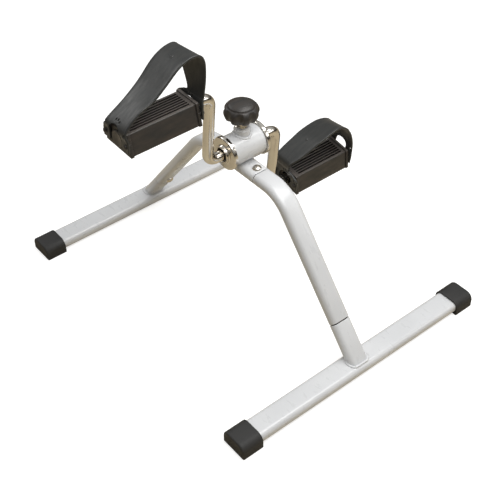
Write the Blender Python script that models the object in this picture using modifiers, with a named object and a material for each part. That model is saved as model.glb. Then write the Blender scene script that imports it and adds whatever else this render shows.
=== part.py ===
"""Pedal exerciser: a low crank on a bolted steel frame, turned by hand or foot.

Frame of the part: metres, +Z up. X is the crank axis, +X to the sitter's right. Y runs from the
front foot bar to the rear one. The origin is on the floor, midway between the bars.
"""

from math import cos, pi, radians, sin, tan

import bmesh
import bpy
from mathutils import Matrix, Vector

MM = 0.001
GAP = 0.3 * MM

# Feet
OVERALL_WIDTH = 400 * MM
BAR_SPACING = 450 * MM
BAR_WIDTH = 33.5 * MM
BAR_HEIGHT = 16 * MM
BAR_CORNER = 6.8 * MM
BAR_TOP = 18.7 * MM
CAP_WIDTH = 39.2 * MM
CAP_LENGTH = 31 * MM
CAP_HEIGHT = 21.6 * MM
CAP_END_WALL = 4 * MM
CAP_CROWN = 10.5 * MM
CAP_SOLE_CORNER = 1.6 * MM

# Frame tube, flat-sided oval
TUBE_WIDTH = 28.5 * MM
TUBE_THICK = 15.5 * MM
TUBE_CORNER = 7.2 * MM
WALL = 1.5 * MM
SPIGOT_SCALE = (TUBE_THICK - 2 * WALL - 2 * GAP) / TUBE_THICK
SPIGOT_LENGTH = 24 * MM
TUBE_Z = 200.3 * MM
CENTRE_HALF = 37 * MM
LEG_SLOPE = radians(51.3)
LEG_BEND_R = 50 * MM
STUB_LENGTH = 55 * MM
CUT_SIZE = 100 * MM

# Fasteners
BOLT_R = 3 * MM
BOLT_HEAD_R = 6 * MM
BOLT_HEAD_H = 4.2 * MM
BOLT_CLEARANCE = 0.35 * MM
LEG_BOLT_Y = 29 * MM
NUT_R = 5.6 * MM
NUT_H = 4.6 * MM
FOOT_SCREW_UP = 12 * MM
FOOT_SCREW_REACH = 9 * MM

# Hub
HUB_R = 20.2 * MM
HUB_Z = TUBE_Z + TUBE_THICK / 2 + HUB_R + GAP
HUB_WALL = 2.2 * MM
HUB_HALF = 23.7 * MM
CUP_R = 22.7 * MM
CUP_END = 30 * MM
CUP_SPIGOT_IN = 15 * MM
COLLAR_R = 12.2 * MM
COLLAR_END = 33.5 * MM
CUP_BORE_R = 9.4 * MM
BUSH_END = 28.5 * MM

# Crank
ROD_R = 7.1 * MM
CRANK_LENGTH = 102 * MM
ARM_X = 55 * MM
CRANK_BEND_R = 13 * MM
CRANK_LEAN = radians(6.4)
SPINDLE_END = 174.5 * MM
ROD_SIDES = 16

# Tension control
BOSS_R = 10.6 * MM
BOSS_TOP = 258 * MM
BOSS_BORE_R = 6.6 * MM
NECK_R = 8.3 * MM
NECK_TOP = 268.3 * MM
SCREW_R = 4 * MM
KNOB_R = 22.8 * MM
KNOB_BOTTOM = 270.2 * MM
KNOB_WIDEST = 280.5 * MM
KNOB_TOP = 293.3 * MM
KNOB_LOBES = 8
KNOB_WALL = 1.8 * MM
KNOB_RECESS = 4 * MM
FLUTE_R = 7.5 * MM
FLUTE_DEPTH = 2.1 * MM
PAD_R = 6.2 * MM
PAD_LIFT = 1 * MM
PAD_HEIGHT = 9 * MM
DISC_THICK = 1.2 * MM

# Pedals
PEDAL_MID = 133 * MM
PEDAL_HALF = 48.5 * MM
PLATE_THICK = 4 * MM
TREAD_TOP = 34.5 * MM
TREAD_BOTTOM = 48 * MM
TREAD_HEIGHT = 26 * MM
TREAD_WALL = 2.6 * MM
PLATE_LIP = 1.5 * MM
SLOTS = 7
SLOT_PITCH = 4.1 * MM
SLOT_WIDTH = 2.1 * MM
SLOT_LENGTH = 80 * MM
BARREL_R = 10.6 * MM
BARREL_BORE = 9.1 * MM
SLEEVE_R = 8.8 * MM
SLEEVE_HALF = 37.5 * MM
CLIP_AT = 38.1 * MM
CLIP_THICK = 1.2 * MM
CAP_FLANGE_R = 10.3 * MM
CAP_FLANGE = 1.8 * MM
CAP_DEPTH = 5 * MM
CAP_WALL = 1.2 * MM
PEG_R = 2.2 * MM
PEG_REACH = 5.5 * MM
PEG_Y = 20 * MM
PEG_Z = 1 * MM
LEFT_TILT = radians(1.5)
RIGHT_TILT = radians(9.5)

# Straps
STRAP_TAIL_HALF = 24.5 * MM
STRAP_THICK = 2.4 * MM
STRAP_STANDOFF = 0.6 * MM + STRAP_THICK / 2
STRAP_TAIL = -7 * MM
STRAP_CUT_R = 12 * MM

WHITE = ("white_paint", (0.66, 0.68, 0.70), 0.3, 0.0)
CHROME = ("chrome", (0.80, 0.77, 0.72), 0.08, 1.0)
ZINC = ("zinc_steel", (0.62, 0.61, 0.58), 0.3, 1.0)
BLACK_PLASTIC = ("black_plastic", (0.035, 0.035, 0.033), 0.45, 0.0)
BLACK_RUBBER = ("black_rubber", (0.03, 0.03, 0.03), 0.75, 0.0)
STRAP_RUBBER = ("strap_rubber", (0.04, 0.042, 0.04), 0.5, 0.0)
NYLON = ("nylon", (0.75, 0.74, 0.70), 0.5, 0.0)

LOCAL_TO_YZ = Matrix(((0, 0, 1, 0), (1, 0, 0, 0), (0, 1, 0, 0), (0, 0, 0, 1)))
AXIS_X = Matrix.Rotation(pi / 2, 4, "Y")
AXIS_MINUS_X = Matrix.Rotation(-pi / 2, 4, "Y")


def clear_scene():
    for obj in list(bpy.data.objects):
        bpy.data.objects.remove(obj, do_unlink=True)


def collection(name):
    made = bpy.data.collections.new(name)
    bpy.context.scene.collection.children.link(made)
    return made


def material(spec):
    name, colour, roughness, metallic = spec
    found = bpy.data.materials.get(name)
    if found:
        return found
    made = bpy.data.materials.new(name)
    made.use_nodes = True
    shader = made.node_tree.nodes["Principled BSDF"]
    shader.inputs["Base Color"].default_value = (*colour, 1)
    shader.inputs["Roughness"].default_value = roughness
    shader.inputs["Metallic"].default_value = metallic
    made.diffuse_color = (*colour, 1)
    return made


def add(name, data, matrix, spec=None):
    """Link a mesh or curve: a part where a material is given, otherwise a cutter."""
    obj = bpy.data.objects.new(name, data)
    obj.matrix_world = matrix
    if spec is None:
        CUTTERS.objects.link(obj)
        obj.hide_render = True
        obj.display_type = "WIRE"
    else:
        PARTS.objects.link(obj)
        data.materials.append(material(spec))
    return obj


def boolean(obj, other, operation="DIFFERENCE"):
    step = obj.modifiers.new(other.name, "BOOLEAN")
    step.operation = operation
    step.object = other
    step.solver = "EXACT"


def lathe(name, profile, matrix, spec=None, steps=32, closed=False):
    """A turned piece about local Z. The profile is (radius, height), outer side top to bottom."""
    mesh = bpy.data.meshes.new(name)
    count = len(profile)
    edges = [(i, i + 1) for i in range(count - 1)]
    if closed:
        edges.append((count - 1, 0))
    mesh.from_pydata([(r, 0, z) for r, z in profile], edges, [])
    obj = add(name, mesh, matrix, spec)
    screw = obj.modifiers.new("turn", "SCREW")
    screw.steps = steps
    screw.render_steps = steps
    screw.use_merge_vertices = True
    screw.merge_threshold = 0.00001
    screw.use_smooth_shade = True
    return obj


def rod(name, radius, bottom, top, matrix, spec=None, steps=24):
    return lathe(name, [(0, top), (radius, top), (radius, bottom), (0, bottom)], matrix, spec, steps)


def outline_solid(name, outlines, depth, matrix, spec=None):
    """A flat outline, with any holes as further outlines, made a solid of this depth about z = 0."""
    curve = bpy.data.curves.new(name, "CURVE")
    curve.dimensions = "2D"
    curve.fill_mode = "BOTH"
    curve.extrude = depth / 2
    for outline in outlines:
        spline = curve.splines.new("POLY")
        spline.points.add(len(outline) - 1)
        spline.use_cyclic_u = True
        for point, (x, y) in zip(spline.points, outline):
            point.co = (x, y, 0, 1)
    return curve_to_mesh(name, curve, matrix, spec)


def curve_to_mesh(name, curve, matrix, spec=None):
    source = bpy.data.objects.new(name + "_curve", curve)
    source.matrix_world = matrix
    CUTTERS.objects.link(source)
    bpy.context.view_layer.update()
    mesh = bpy.data.meshes.new_from_object(source.evaluated_get(bpy.context.evaluated_depsgraph_get()))
    bpy.data.objects.remove(source)
    shell = bmesh.new()
    shell.from_mesh(mesh)
    bmesh.ops.remove_doubles(shell, verts=shell.verts, dist=0.00001)
    shell.to_mesh(mesh)
    shell.free()
    mesh.name = name
    return add(name, mesh, matrix, spec)


def smooth(obj, angle=radians(35)):
    obj.data.shade_smooth()
    obj.data.set_sharp_from_angle(angle=angle)


def arc(centre, radius, start, end, steps):
    cx, cy = centre
    angles = [start + (end - start) * i / steps for i in range(steps + 1)]
    return [(cx + radius * cos(a), cy + radius * sin(a)) for a in angles]


def rounded_box(width, height, top_corner, bottom_corner, bottom=0.0, steps=5):
    """Counter-clockwise outline, centred across, standing on bottom."""
    half = width / 2
    top = bottom + height
    points = arc((half - bottom_corner, bottom + bottom_corner), bottom_corner, -pi / 2, 0, steps)
    points += arc((half - top_corner, top - top_corner), top_corner, 0, pi / 2, steps)
    points += arc((top_corner - half, top - top_corner), top_corner, pi / 2, pi, steps)
    points += arc((bottom_corner - half, bottom + bottom_corner), bottom_corner, pi, 1.5 * pi, steps)
    return points


def fillet_path(corners, radius, steps):
    """Points along straight runs through the corners, each turned with this centreline radius."""
    path = [corners[0]]
    for before, corner, after in zip(corners, corners[1:], corners[2:]):
        back = (before - corner).normalized()
        ahead = (after - corner).normalized()
        half = back.angle(ahead) / 2
        centre = corner + (back + ahead).normalized() * radius / sin(half)
        start = corner + back * radius / tan(half)
        end = corner + ahead * radius / tan(half)
        normal = (start - centre).cross(end - centre).normalized()
        sweep = pi - 2 * half
        for i in range(steps + 1):
            path.append(centre + Matrix.Rotation(sweep * i / steps, 3, normal) @ (start - centre))
    path.append(corners[-1])
    return path


def oval_tube(name, points, scales, spec):
    """A flat-sided oval tube along a path in the YZ plane, open at both ends, its flats facing out."""
    profile = bpy.data.curves.new(name + "_profile", "CURVE")
    profile.dimensions = "2D"
    outline = profile.splines.new("POLY")
    section = rounded_box(TUBE_WIDTH, TUBE_THICK, TUBE_CORNER, TUBE_CORNER, -TUBE_THICK / 2, 4)
    outline.points.add(len(section) - 1)
    outline.use_cyclic_u = True
    for point, (x, y) in zip(outline.points, reversed(section)):
        point.co = (x, y, 0, 1)
    guide = add(name + "_profile", profile, Matrix.Identity(4))
    curve = bpy.data.curves.new(name, "CURVE")
    curve.dimensions = "3D"
    curve.bevel_mode = "OBJECT"
    curve.bevel_object = guide
    spline = curve.splines.new("POLY")
    spline.points.add(len(points) - 1)
    for point, place, scale in zip(spline.points, points, scales):
        point.co = (*place, 1)
        point.radius = scale
    tube = curve_to_mesh(name, curve, Matrix.Identity(4), spec)
    shell = tube.modifiers.new("wall", "SOLIDIFY")
    shell.thickness = WALL
    shell.offset = -1
    return tube


# ---- feet ----------------------------------------------------------------------------------

def foot_bar(name, side):
    outer = rounded_box(BAR_WIDTH, BAR_HEIGHT, BAR_CORNER, BAR_CORNER, BAR_TOP - BAR_HEIGHT)
    inner = rounded_box(BAR_WIDTH - 2 * WALL, BAR_HEIGHT - 2 * WALL, BAR_CORNER - WALL,
                        BAR_CORNER - WALL, BAR_TOP - BAR_HEIGHT + WALL)
    length = OVERALL_WIDTH - 2 * (CAP_END_WALL + GAP)
    place = Matrix.Translation((0, side * BAR_SPACING / 2, 0)) @ LOCAL_TO_YZ
    smooth(outline_solid(name, [outer, inner], length, place, WHITE))


def foot_cap(name, end, side):
    """A moulded end cap that slips over the bar and is the foot that touches the floor."""
    outline = rounded_box(CAP_WIDTH, CAP_HEIGHT, CAP_CROWN, CAP_SOLE_CORNER, steps=6)
    middle = OVERALL_WIDTH / 2 - CAP_LENGTH / 2
    place = Matrix.Translation((end * middle, side * BAR_SPACING / 2, 0)) @ LOCAL_TO_YZ
    cap = outline_solid(name, [outline], CAP_LENGTH, place, BLACK_RUBBER)
    pocket = rounded_box(BAR_WIDTH + 2 * GAP, BAR_HEIGHT + 2 * GAP, BAR_CORNER + GAP,
                         BAR_CORNER + GAP, BAR_TOP - BAR_HEIGHT - GAP)
    shift = Matrix.Translation((-end * CAP_END_WALL, 0, 0))
    boolean(cap, outline_solid(name + "_pocket", [pocket], CAP_LENGTH, shift @ place))
    smooth(cap)


def slant(side, rise=0.0):
    """Placement of local Z up the sloping leg, starting rise above the bar's top along the slope."""
    turn = Matrix.Rotation(side * (pi / 2 - LEG_SLOPE), 4, "X")
    return Matrix.Translation((0, side * BAR_SPACING / 2, BAR_TOP)) @ turn @ Matrix.Translation((0, 0, rise))


def foot_stub(name, side):
    """The welded stub on the bar, with a reduced spigot that the leg slips over."""
    skirt = -TUBE_THICK / tan(LEG_SLOPE)
    heights = (skirt, STUB_LENGTH - 2 * GAP, STUB_LENGTH - GAP, STUB_LENGTH + SPIGOT_LENGTH)
    path = [slant(side, height).translation for height in heights]
    stub = oval_tube(name, path, (1, 1, SPIGOT_SCALE, SPIGOT_SCALE), WHITE)
    ground = rounded_box(CUT_SIZE, CUT_SIZE, MM, MM, -CUT_SIZE, 1)
    level = Matrix.Translation((0, side * BAR_SPACING / 2, BAR_TOP + GAP)) @ LOCAL_TO_YZ
    boolean(stub, outline_solid(name + "_ground", [ground], CUT_SIZE, level))
    boolean(stub, foot_screw_hole(name, side))
    smooth(stub)


# ---- centre and legs -----------------------------------------------------------------------

def foot_screw_axis(side):
    """Placement of local Z pointing out of the leg's inner face, origin on the leg's axis."""
    across = Matrix.Rotation(side * pi / 2, 4, "X")
    return slant(side, STUB_LENGTH + FOOT_SCREW_UP) @ across


def foot_screw_hole(name, side):
    radius = BOLT_R + BOLT_CLEARANCE
    return rod(name + "_screw_hole", radius, 3 * MM, TUBE_THICK, foot_screw_axis(side), steps=16)


def leg_bolt_hole(name, side):
    place = Matrix.Translation((0, side * LEG_BOLT_Y, TUBE_Z))
    return rod(name + "_bolt_hole", BOLT_R + BOLT_CLEARANCE, -TUBE_THICK, TUBE_THICK, place, steps=16)


def centre_tube():
    """The level tube whose top face the hub is welded to."""
    ends = [Vector((0, -CENTRE_HALF, TUBE_Z)), Vector((0, CENTRE_HALF, TUBE_Z))]
    tube = oval_tube("centre_tube", ends, (1, 1), WHITE)
    for side in (-1, 1):
        boolean(tube, leg_bolt_hole(f"centre_tube_{side}", side))
    smooth(tube)


def leg(name, side):
    """One bent tube: a spigot in the centre tube, a level run, the bend and the slope."""
    corner_y = BAR_SPACING / 2 - (TUBE_Z - BAR_TOP) / tan(LEG_SLOPE)
    foot = slant(side, STUB_LENGTH + GAP).translation
    start = CENTRE_HALF + GAP
    corners = [Vector((0, side * start, TUBE_Z)), Vector((0, side * corner_y, TUBE_Z)), foot]
    bend = fillet_path(corners, LEG_BEND_R, 7)
    spigot = [Vector((0, side * (start - SPIGOT_LENGTH), TUBE_Z)),
              Vector((0, side * (start - GAP / 2), TUBE_Z))]
    scales = [SPIGOT_SCALE] * 2 + [1] * len(bend)
    tube = oval_tube(name, spigot + bend, scales, WHITE)
    boolean(tube, leg_bolt_hole(name, side))
    boolean(tube, foot_screw_hole(name, side))
    smooth(tube)


def dome_head(radius, height, seat):
    """Profile of a domed head from its crown down to its seat."""
    return [(radius * x, seat + height * y) for x, y in arc((0, 0), 1, pi / 2, 0, 4)]


def leg_bolt(name, side):
    """A through bolt that pins the leg's spigot in the centre tube."""
    seat = TUBE_THICK / 2 + GAP
    end = -seat - NUT_H - 1.5 * MM
    profile = dome_head(BOLT_HEAD_R, BOLT_HEAD_H, seat) + [(BOLT_R, seat), (BOLT_R, end), (0, end)]
    place = Matrix.Translation((0, side * LEG_BOLT_Y, TUBE_Z))
    lathe(name, profile, place, CHROME, 16)


def leg_nut(name, side):
    """The hexagon nut under the centre tube."""
    hexagon = arc((0, 0), NUT_R, 0, 2 * pi * 5 / 6, 5)
    hole = arc((0, 0), BOLT_R + GAP, 0, 2 * pi * 15 / 16, 15)
    middle = TUBE_Z - TUBE_THICK / 2 - GAP - NUT_H / 2
    place = Matrix.Translation((0, side * LEG_BOLT_Y, middle))
    outline_solid(name, [hexagon, hole], NUT_H, place, ZINC)


def foot_screw(name, side):
    """A short screw through the leg's inner face into the stub's spigot."""
    seat = TUBE_THICK / 2 + GAP
    end = seat - FOOT_SCREW_REACH
    profile = dome_head(BOLT_HEAD_R, BOLT_HEAD_H, seat) + [(BOLT_R, seat), (BOLT_R, end), (0, end)]
    lathe(name, profile, foot_screw_axis(side), CHROME, 16)


# ---- hub -----------------------------------------------------------------------------------

def hub_place(side=1):
    return Matrix.Translation((0, 0, HUB_Z)) @ (AXIS_X if side > 0 else AXIS_MINUS_X)


def hub_shell():
    inner = HUB_R - HUB_WALL
    profile = [(HUB_R, HUB_HALF), (HUB_R, -HUB_HALF), (inner, -HUB_HALF), (inner, HUB_HALF)]
    shell = lathe("hub_shell", profile, hub_place(), WHITE, 36, closed=True)
    up = Matrix.Translation((0, 0, HUB_Z))
    boolean(shell, rod("pad_port", BOSS_BORE_R, 0, HUB_R * 2, up, steps=24))


def hub_cup(name, side):
    """A plated end cup: a spigot in the shell, a rounded flange and a raised collar."""
    round_r = 2.5 * MM
    rim = arc((CUP_R - round_r, CUP_END - round_r), round_r, pi / 2, 0, 4)
    flange = HUB_HALF + GAP
    spigot_r = HUB_R - HUB_WALL - GAP
    profile = [(COLLAR_R - 0.8 * MM, COLLAR_END), (COLLAR_R, COLLAR_END - 0.8 * MM),
               (COLLAR_R, CUP_END)]
    profile += rim
    profile += [(CUP_R, flange), (spigot_r, flange), (spigot_r, CUP_SPIGOT_IN),
                (CUP_BORE_R, CUP_SPIGOT_IN), (CUP_BORE_R, COLLAR_END)]
    lathe(name, profile, hub_place(side), CHROME, 32, closed=True)


def hub_bush(name, side):
    outer = CUP_BORE_R - GAP
    inner = ROD_R + GAP
    profile = [(outer, BUSH_END), (outer, CUP_SPIGOT_IN), (inner, CUP_SPIGOT_IN), (inner, BUSH_END)]
    lathe(name, profile, hub_place(side), BLACK_PLASTIC, 24, closed=True)


# ---- crank ---------------------------------------------------------------------------------

def crank_place():
    return Matrix.Translation((0, 0, HUB_Z)) @ Matrix.Rotation(CRANK_LEAN, 4, "X")


def crankshaft():
    """One bent rod: pedal spindle, arm up, axle through the hub, arm down, pedal spindle."""
    corners = [Vector(p) for p in ((-SPINDLE_END, 0, CRANK_LENGTH), (-ARM_X, 0, CRANK_LENGTH),
                                   (-ARM_X, 0, 0), (ARM_X, 0, 0), (ARM_X, 0, -CRANK_LENGTH),
                                   (SPINDLE_END, 0, -CRANK_LENGTH))]
    curve = bpy.data.curves.new("crankshaft", "CURVE")
    curve.dimensions = "3D"
    curve.bevel_depth = ROD_R
    curve.bevel_resolution = ROD_SIDES // 2 - 2
    curve.use_fill_caps = True
    route = fillet_path(corners, CRANK_BEND_R, 6)
    spline = curve.splines.new("POLY")
    spline.points.add(len(route) - 1)
    for point, place in zip(spline.points, route):
        point.co = (*place, 1)
    smooth(curve_to_mesh("crankshaft", curve, crank_place(), CHROME))


# ---- tension control -----------------------------------------------------------------------

def upright(z):
    return Matrix.Translation((0, 0, z))


def tension_boss():
    """The welded collar on the hub that guides the brake pad."""
    foot = HUB_Z + HUB_R - 3 * MM
    chamfer = 1.2 * MM
    profile = [(BOSS_R - chamfer, BOSS_TOP), (BOSS_R, BOSS_TOP - chamfer), (BOSS_R, foot),
               (BOSS_BORE_R, foot), (BOSS_BORE_R, BOSS_TOP)]
    boss = lathe("tension_boss", profile, upright(0), WHITE, 24, closed=True)
    saddle = rod("boss_saddle", HUB_R + GAP, -HUB_HALF, HUB_HALF, hub_place(), steps=48)
    boolean(boss, saddle)


def tension_nut():
    """The plated threaded neck that the screw runs in."""
    bottom = BOSS_TOP + GAP
    inner = SCREW_R + GAP
    chamfer = 1 * MM
    profile = [(NECK_R - chamfer, NECK_TOP), (NECK_R, NECK_TOP - chamfer), (NECK_R, bottom),
               (inner, bottom), (inner, NECK_TOP)]
    lathe("tension_nut", profile, upright(0), CHROME, 24, closed=True)


def pad_bottom():
    return HUB_Z + ROD_R + PAD_LIFT


def brake_pad():
    """A sliding block whose hollow underside bears on the axle."""
    top = pad_bottom() + PAD_HEIGHT
    pad = rod("brake_pad", PAD_R, HUB_Z + 3 * MM, top, upright(0), NYLON)
    hollow = Matrix.Translation((0, 0, PAD_LIFT)) @ hub_place()
    boolean(pad, rod("axle_saddle", ROD_R, -PAD_R * 2, PAD_R * 2, hollow, steps=40))


def pressure_disc():
    """A steel disc on the pad that takes the point of the screw."""
    bottom = pad_bottom() + PAD_HEIGHT + GAP
    rod("pressure_disc", PAD_R - GAP, bottom, bottom + DISC_THICK, upright(0), ZINC)


def screw_top():
    return KNOB_WIDEST + 6 * MM


def tension_screw():
    bottom = pad_bottom() + PAD_HEIGHT + DISC_THICK + 2 * GAP
    top = screw_top()
    point = 1 * MM
    profile = [(0, top), (SCREW_R, top), (SCREW_R, bottom + point), (SCREW_R - point, bottom), (0, bottom)]
    lathe("tension_screw", profile, upright(0), ZINC, 24)


def tension_knob():
    """A lobed knob, hollow under its skirt, with a socket for the screw."""
    inside = KNOB_R - 4.2 * MM - KNOB_WALL
    recess = KNOB_BOTTOM + KNOB_RECESS
    socket_r = SCREW_R + GAP
    socket_top = screw_top() + GAP
    dome_r = KNOB_R - 2 * MM
    rise = KNOB_TOP - KNOB_WIDEST
    profile = [(dome_r * x, KNOB_WIDEST + rise * y) for x, y in arc((0, 0), 1, pi / 2, 0.2, 6)]
    profile += [(KNOB_R, KNOB_WIDEST), (KNOB_R - 0.5 * MM, KNOB_WIDEST - 4 * MM),
                (KNOB_R - 3.5 * MM, KNOB_BOTTOM + 1 * MM), (KNOB_R - 4.2 * MM, KNOB_BOTTOM),
                (inside, KNOB_BOTTOM), (inside, recess),
                (socket_r, recess), (socket_r, socket_top), (0, socket_top)]
    knob = lathe("tension_knob", profile, upright(0), BLACK_PLASTIC, 32)
    for i in range(KNOB_LOBES):
        angle = 2 * pi * i / KNOB_LOBES
        out = Matrix.Translation((KNOB_R + FLUTE_R - FLUTE_DEPTH, 0, 0))
        place = Matrix.Rotation(angle, 4, "Z") @ out
        flute = rod(f"knob_flute_{i}", FLUTE_R, KNOB_BOTTOM - KNOB_RECESS, KNOB_WIDEST + 3 * MM, place)
        boolean(knob, flute)


# ---- pedals --------------------------------------------------------------------------------

def pedal_place(side):
    """Placement of a pedal: origin on its spindle at mid length, local X along the spindle."""
    tilt = LEFT_TILT if side < 0 else RIGHT_TILT
    spindle = crank_place() @ Matrix.Translation((side * PEDAL_MID, 0, -side * CRANK_LENGTH))
    return Matrix.Translation(spindle.translation) @ Matrix.Rotation(tilt, 4, "X")


def trapezoid(top, bottom, height, grow=0.0):
    """Counter-clockwise tread section, centred on the spindle, grown outward all round."""
    half = height / 2 + grow
    wide_top = top / 2 + grow
    wide_bottom = bottom / 2 + grow
    return [(-wide_bottom, -half), (wide_bottom, -half), (wide_top, half), (-wide_top, half)]


def pedal_body(name, side):
    """A moulding: slotted tread open below, a plate at each end and a barrel round the spindle."""
    place = pedal_place(side)
    section = place @ LOCAL_TO_YZ
    length = 2 * (PEDAL_HALF - PLATE_THICK)
    body = outline_solid(name, [trapezoid(TREAD_TOP, TREAD_BOTTOM, TREAD_HEIGHT)], length, section,
                         BLACK_PLASTIC)
    hollow = trapezoid(TREAD_TOP - 2 * TREAD_WALL, TREAD_BOTTOM - 2 * TREAD_WALL, TREAD_HEIGHT)
    lowered = place @ Matrix.Translation((0, 0, -TREAD_WALL)) @ LOCAL_TO_YZ
    boolean(body, outline_solid(name + "_hollow", [hollow], length - 2 * MM, lowered))
    for i in range(SLOTS):
        y = (i - (SLOTS - 1) / 2) * SLOT_PITCH
        slot = rounded_box(SLOT_WIDTH, TREAD_HEIGHT, 0.2 * MM, 0.2 * MM, 0, 1)
        shifted = place @ Matrix.Translation((0, y, TREAD_HEIGHT / 2 - TREAD_WALL * 2)) @ LOCAL_TO_YZ
        boolean(body, outline_solid(f"{name}_slot_{i}", [slot], SLOT_LENGTH, shifted))
    along = place @ AXIS_X
    boolean(body, rod(name + "_barrel", BARREL_R, -length / 2, length / 2, along, steps=32), "UNION")
    for end in (-1, 1):
        shifted = place @ Matrix.Translation((end * (PEDAL_HALF - PLATE_THICK / 2), 0, 0)) @ LOCAL_TO_YZ
        plate = trapezoid(TREAD_TOP, TREAD_BOTTOM, TREAD_HEIGHT, PLATE_LIP)
        boolean(body, outline_solid(f"{name}_plate_{end}", [plate], PLATE_THICK, shifted), "UNION")
        for across in (-1, 1):
            spot = Matrix.Translation((end * (PEDAL_HALF - PLATE_THICK), across * PEG_Y, PEG_Z))
            turn = AXIS_X if end > 0 else AXIS_MINUS_X
            peg = rod(f"{name}_peg_{end}_{across}", PEG_R, 1 * MM, PLATE_THICK + PEG_REACH,
                      place @ spot @ turn, steps=14)
            boolean(body, peg, "UNION")
    boolean(body, rod(name + "_bore", BARREL_BORE, -PEDAL_HALF * 2, PEDAL_HALF * 2, along, steps=32))


def pedal_sleeve(name, side):
    """The nylon bearing sleeve between the barrel and the spindle."""
    inner = ROD_R + GAP
    profile = [(SLEEVE_R, SLEEVE_HALF), (SLEEVE_R, -SLEEVE_HALF), (inner, -SLEEVE_HALF), (inner, SLEEVE_HALF)]
    lathe(name, profile, pedal_place(side) @ AXIS_X, NYLON, 24, closed=True)


def pedal_clip(name, side):
    """The push-on clip that holds the pedal on its spindle."""
    inner = ROD_R + GAP
    outer = SLEEVE_R - GAP
    profile = [(outer, CLIP_THICK), (outer, 0), (inner, 0), (inner, CLIP_THICK)]
    outward = Matrix.Translation((side * CLIP_AT, 0, 0))
    turn = AXIS_X if side > 0 else AXIS_MINUS_X
    lathe(name, profile, pedal_place(side) @ outward @ turn, ZINC, 24, closed=True)


def pedal_cap(name, side):
    """The round cap that closes the barrel's outer end, its flange on the plate."""
    outer = BARREL_BORE - GAP
    inside = outer - CAP_WALL
    ease = CAP_FLANGE / 2
    profile = [(0, CAP_FLANGE), (CAP_FLANGE_R - ease, CAP_FLANGE), (CAP_FLANGE_R, CAP_FLANGE - ease),
               (CAP_FLANGE_R, GAP), (outer, GAP), (outer, -CAP_DEPTH), (inside, -CAP_DEPTH),
               (inside, -CAP_WALL), (0, -CAP_WALL)]
    outward = Matrix.Translation((side * PEDAL_HALF, 0, 0))
    turn = AXIS_X if side > 0 else AXIS_MINUS_X
    lathe(name, profile, pedal_place(side) @ outward @ turn, BLACK_PLASTIC, 24)


def smooth_through(stations, steps):
    """Points on a Catmull-Rom spline through the stations, each a tuple of equal length."""
    line = [Vector(station) for station in (stations[0], *stations, stations[-1])]
    found = []
    for p0, p1, p2, p3 in zip(line, line[1:], line[2:], line[3:]):
        for i in range(steps):
            t = i / steps
            found.append(0.5 * (2 * p1 + (p2 - p0) * t + (2 * p0 - 5 * p1 + 4 * p2 - p3) * t ** 2
                                + (3 * p1 - p0 - 3 * p2 + p3) * t ** 3))
    found.append(line[-1])
    return found


def strap_edges(side):
    """The band's near and far edges, from the -X plate over to the +X plate.

    Each point is (x, z, half width) in mm. The end beside the crank narrows on one side above the
    wide tail.
    """
    face = (PEDAL_HALF + STRAP_STANDOFF) / MM
    if side < 0:
        near = ((-50, 18, 21), (-33, 34, 21), (-12, 42.5, 21), (5, 55, 21), (22, 69, 21), (36, 75.5, 21),
                (50, 75, 21), (57.5, 65, 21), (58, 44, 21), (55, 22, 21), (52.5, 16, 22), (51, 11, 24))
        far = ((-50, 17, 21), (-25, 31, 21), (-4, 46, 21), (15, 64, 21), (27, 71.5, 21), (37, 74.5, 21),
               (46, 74, 21), (51, 67, 20), (53, 44, 15), (52.5, 22, 7), (51.8, 16, 15), (51, 11, 23.5))
    else:
        near = ((-51, 11, 23.5), (-51.4, 15.5, 16), (-51.8, 20, 7), (-54, 27, 8), (-53, 34, 10),
                (-43.4, 43, 15), (-25, 56.5, 19), (-12.5, 65, 21), (6.4, 71.5, 21), (18, 72.5, 21),
                (30, 66.5, 21), (39, 56, 21), (46.5, 42, 21), (52, 24, 21))
        far = ((-51, 10, 24), (-51.4, 14, 22), (-51.8, 18, 21), (-54, 25, 21), (-52, 32, 21),
               (-43, 38.5, 21), (-29, 46, 21), (-14.5, 53, 21), (3, 57, 21), (17, 57.2, 21),
               (31, 53, 21), (40, 46.5, 21), (47, 36, 21), (51.5, 22, 21))
    tail = STRAP_TAIL / MM
    wide = STRAP_TAIL_HALF / MM
    start = ((-face, tail, wide), (-face, 6, wide))
    end = ((face, 6, wide), (face, tail, wide))
    return [(*start, *edge, *end) for edge in (near, far)]


def strap(name, side):
    """A moulded band over the foot, holed for the pegs and cut out round the spindle's boss."""
    stations = [near + far for near, far in zip(*strap_edges(side))]
    cage = bmesh.new()
    rows = []
    for x_near, z_near, near_half, x_far, z_far, far_half in smooth_through(stations, 3):
        ends = Vector((x_near, -near_half, z_near)) * MM, Vector((x_far, far_half, z_far)) * MM
        rows.append([cage.verts.new(ends[0].lerp(ends[1], t)) for t in (0, 0.5, 1)])
    for row, after in zip(rows, rows[1:]):
        for i in range(2):
            cage.faces.new((row[i], after[i], after[i + 1], row[i + 1]))
    mesh = bpy.data.meshes.new(name)
    cage.to_mesh(mesh)
    cage.free()
    place = pedal_place(side)
    band = add(name, mesh, place, STRAP_RUBBER)
    shell = band.modifiers.new("thickness", "SOLIDIFY")
    shell.thickness = STRAP_THICK
    shell.offset = 0
    for end in (-1, 1):
        turn = AXIS_X if end > 0 else AXIS_MINUS_X
        inner = PEDAL_HALF - 2 * MM
        outer = PEDAL_HALF + 7 * MM
        boolean(band, rod(f"{name}_cutout_{end}", STRAP_CUT_R, inner, outer, place @ turn, steps=24))
        for across in (-1, 1):
            spot = place @ Matrix.Translation((0, across * PEG_Y, PEG_Z)) @ turn
            hole = rod(f"{name}_hole_{end}_{across}", PEG_R + 0.5 * MM, inner, outer, spot, steps=12)
            boolean(band, hole)
    smooth(band)


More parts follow.
